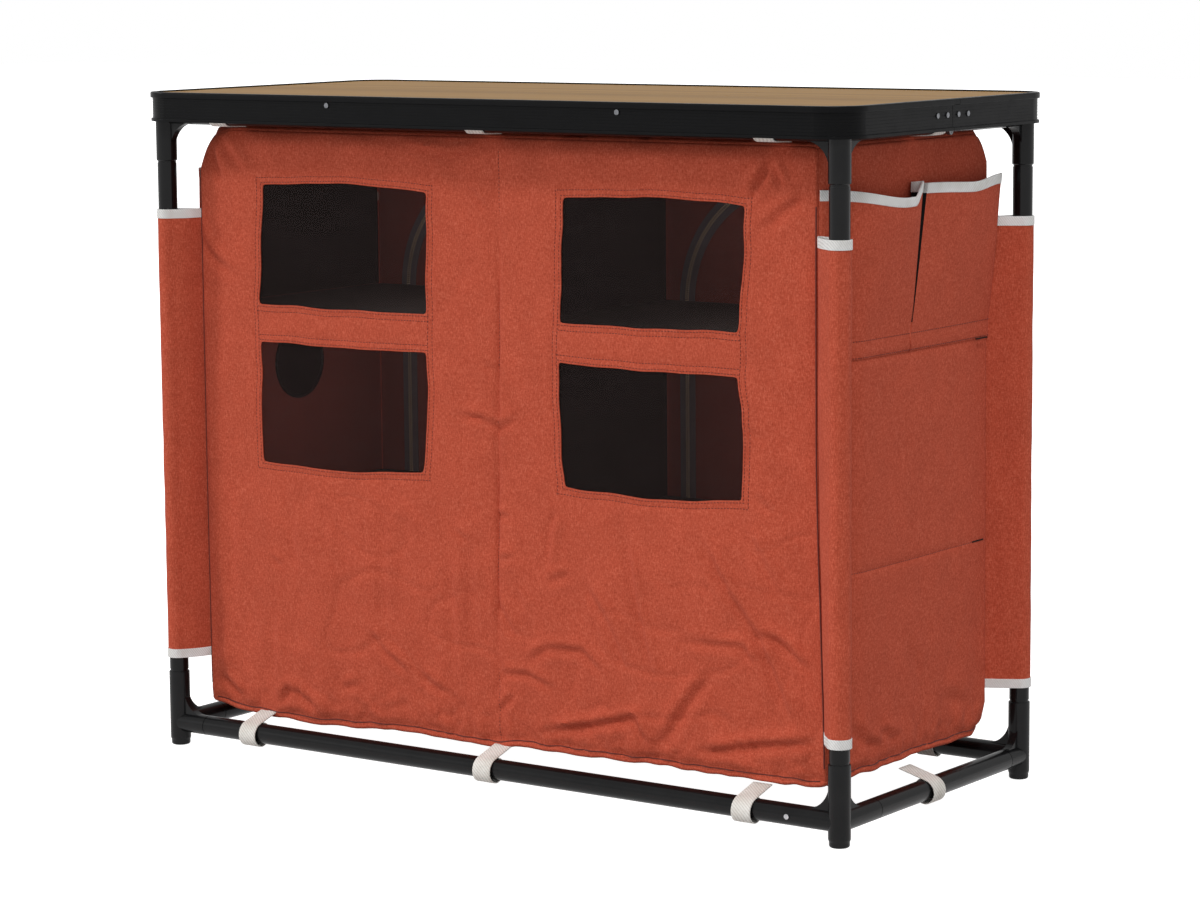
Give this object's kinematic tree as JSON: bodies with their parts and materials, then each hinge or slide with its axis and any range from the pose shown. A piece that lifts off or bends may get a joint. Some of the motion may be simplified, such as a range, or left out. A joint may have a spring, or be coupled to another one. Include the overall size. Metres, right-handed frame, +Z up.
{
  "type": "camping cupboard",
  "caption": "Camping cupboard: hanging fabric cabinet with mesh windows and side pockets in a knock-down tube frame, under a folding tabletop.",
  "frame": {"origin": "on the floor under the middle of the cupboard", "axes": "+X to the right along the windowed front, +Y from the windowed front to the back with the doors, +Z up"},
  "size_m": [1, 0.45, 0.8],
  "materials": {
    "terracotta_cloth": "heathered woven polyester",
    "lining_cloth": "dark coated cloth over stiffening board",
    "black_tube": "black powder-coated aluminium tube, satin",
    "black_plastic": "black moulded nylon, satin",
    "bamboo_laminate": "bamboo-look laminate, satin",
    "black_anodised_edge": "black anodised aluminium with fine grooves",
    "hinge_steel": "blackened steel",
    "rivet_steel": "black rivets",
    "black_mesh": "fine black mosquito mesh",
    "zip_metal": "dark zinc zip slider",
    "zip_tape": "black zip tape with grey coil",
    "white_binding": "off-white woven binding tape",
    "webbing": "off-white polyester webbing"
  },
  "bodies": {
    "frame_and_cabinet": {"back_panel": "terracotta_cloth", "bottom_rails_long": "black_tube", "bottom_rails_short": "black_tube", "bottom_straps": "webbing", "cabinet_floor": "lining_cloth", "cabinet_roof": "terracotta_cloth", "cable_port": "black_plastic", "centre_divider": "lining_cloth", "foot_plugs": "black_plastic", "front_panel": "terracotta_cloth", "leg_back_left": "black_tube", "leg_back_right": "black_tube", "leg_front_left": "black_tube", "leg_front_right": "black_tube", "leg_sleeve_back_left": "terracotta_cloth", "leg_sleeve_back_right": "terracotta_cloth", "leg_sleeve_front_left": "terracotta_cloth", "leg_sleeve_front_right": "terracotta_cloth", "lower_connector_back_left": "black_plastic", "lower_connector_back_right": "black_plastic", "lower_connector_front_left": "black_plastic", "lower_connector_front_right": "black_plastic", "pocket_bindings": "white_binding", "pocket_panel_left": "terracotta_cloth", "pocket_panel_right": "terracotta_cloth", "rail_rivets": "rivet_steel", "shelf_lower_left": "lining_cloth", "shelf_lower_right": "lining_cloth", "shelf_upper_left": "lining_cloth", "shelf_upper_right": "lining_cloth", "side_panel_left": "terracotta_cloth", "side_panel_right": "terracotta_cloth", "sleeve_bindings": "white_binding", "top_rails_long": "black_tube", "top_rails_short": "black_tube", "top_straps": "webbing", "upper_connector_back_left": "black_plastic", "upper_connector_back_right": "black_plastic", "upper_connector_front_left": "black_plastic", "upper_connector_front_right": "black_plastic", "window_mesh_left": "black_mesh", "window_mesh_right": "black_mesh", "zip_tapes_panel": "zip_tape"},
    "tabletop_hinge_pins": {"hinge_pins": "hinge_steel"},
    "tabletop_front_half": {"tabletop_board_front": "bamboo_laminate", "edge_profile_front": "black_anodised_edge", "cross_bars_front": "black_anodised_edge", "hinge_leaves_front": "hinge_steel", "rivets_front_half": "rivet_steel"},
    "tabletop_back_half": {"tabletop_board_back": "bamboo_laminate", "edge_profile_back": "black_anodised_edge", "cross_bars_back": "black_anodised_edge", "hinge_leaves_back": "hinge_steel", "rivets_back_half": "rivet_steel"},
    "back_door_left": {"back_door_left": "terracotta_cloth", "zip_tape_door_left": "zip_tape"},
    "back_door_right": {"back_door_right": "terracotta_cloth", "zip_tape_door_right": "zip_tape"},
    "zip_slider_left": {"zip_slider_left": "zip_metal"},
    "zip_slider_right": {"zip_slider_right": "zip_metal"}
  },
  "joints": [
    {"name": "tabletop_lift", "type": "slide", "parent": "frame_and_cabinet", "child": "tabletop_hinge_pins", "axis": [0, 0, 1], "range_m": [0, 0.7]},
    {"name": "tabletop_fold_front", "type": "hinge", "parent": "tabletop_hinge_pins", "child": "tabletop_front_half", "pos_m": [0, 0, 0.7645], "axis": [1, 0, 0], "range_deg": [0, 90]},
    {"name": "tabletop_fold_back", "type": "hinge", "parent": "tabletop_hinge_pins", "child": "tabletop_back_half", "pos_m": [0, 0, 0.7645], "axis": [1, 0, 0], "range_deg": [-90, 0]},
    {"name": "back_door_left_open", "type": "hinge", "parent": "frame_and_cabinet", "child": "back_door_left", "pos_m": [-0.215, 0.173, 0.075], "axis": [-1, 0, 0], "range_deg": [0, 90]},
    {"name": "zip_left_run", "type": "slide", "parent": "back_door_left", "child": "zip_slider_left", "axis": [0, 0, 1], "range_m": [0, 0.41]},
    {"name": "back_door_right_open", "type": "hinge", "parent": "frame_and_cabinet", "child": "back_door_right", "pos_m": [0.215, 0.173, 0.075], "axis": [-1, 0, 0], "range_deg": [0, 90]},
    {"name": "zip_right_run", "type": "slide", "parent": "back_door_right", "child": "zip_slider_right", "axis": [0, 0, 1], "range_m": [0, 0.41]}
  ],
  "couplings": [
    {"joint": "tabletop_fold_front", "follows": "tabletop_lift", "rad_per_m": 2.244},
    {"joint": "tabletop_fold_back", "follows": "tabletop_lift", "rad_per_m": -2.244}
  ]
}
